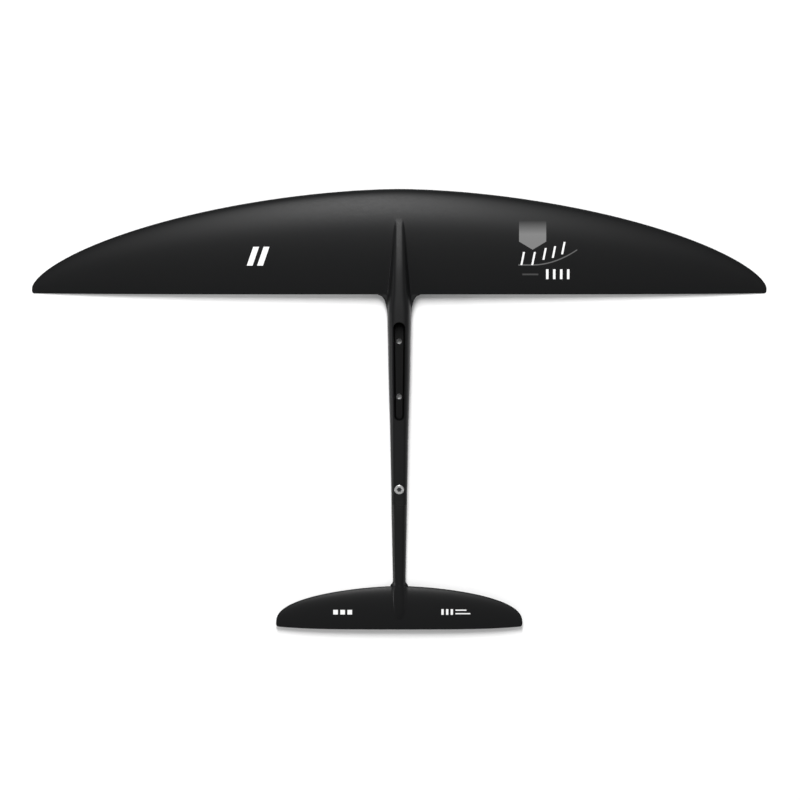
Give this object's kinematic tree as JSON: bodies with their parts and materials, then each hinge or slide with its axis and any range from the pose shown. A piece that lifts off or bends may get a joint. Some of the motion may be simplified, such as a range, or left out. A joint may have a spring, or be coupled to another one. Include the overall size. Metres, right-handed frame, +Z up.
{
  "type": "hydrofoil plane",
  "caption": "Swept front wing on a slim tapered fuselage with a two-screw mast pocket, and a tail fuselage with a small stabiliser",
  "frame": {"origin": "on the floor of the mast pocket, halfway between its two screw holes", "axes": "+X along the span, +Y towards the leading edge, +Z up out of the mast pocket"},
  "size_m": [1.139, 0.6815, 0.0415],
  "materials": {
    "carbon": "satin clear coat over fine carbon twill",
    "laminate": "solid carbon laminate, machined",
    "liner": "matt moulded carbon",
    "foam": "rigid closed-cell foam",
    "steel": "stainless steel"
  },
  "bodies": {
    "plane": {"front_upper_skin": "carbon", "front_lower_skin": "carbon", "root_fillets": "carbon", "wing_spar": "laminate", "wing_core_left": "foam", "wing_core_right": "foam", "wing_root_block": "laminate", "mast_block": "laminate", "mast_pocket_liner": "liner", "mast_screw_seats": "steel", "mid_fuselage_core": "foam", "tail_socket_block": "laminate", "tail_upper_skin": "carbon", "tail_lower_skin": "carbon", "tail_fuselage_core": "foam", "tail_plug": "laminate", "tail_thread_insert": "steel", "stabiliser_core_left": "foam", "stabiliser_core_right": "foam"},
    "screw_travel": {"tail_screw_washer": "steel"},
    "screw": {"tail_screw": "steel"}
  },
  "joints": [
    {"name": "tail_screw_travel", "type": "slide", "parent": "plane", "child": "screw_travel", "axis": [0, 0, 1], "range_m": [0, 0.009]},
    {"name": "tail_screw_turn", "type": "hinge", "parent": "screw_travel", "child": "screw", "pos_m": [0, -0.1866, 0], "axis": [0, 0, 1], "range_deg": [0, 2600]}
  ],
  "couplings": [
    {"joint": "tail_screw_turn", "follows": "tail_screw_travel", "rad_per_m": 5026.5}
  ]
}
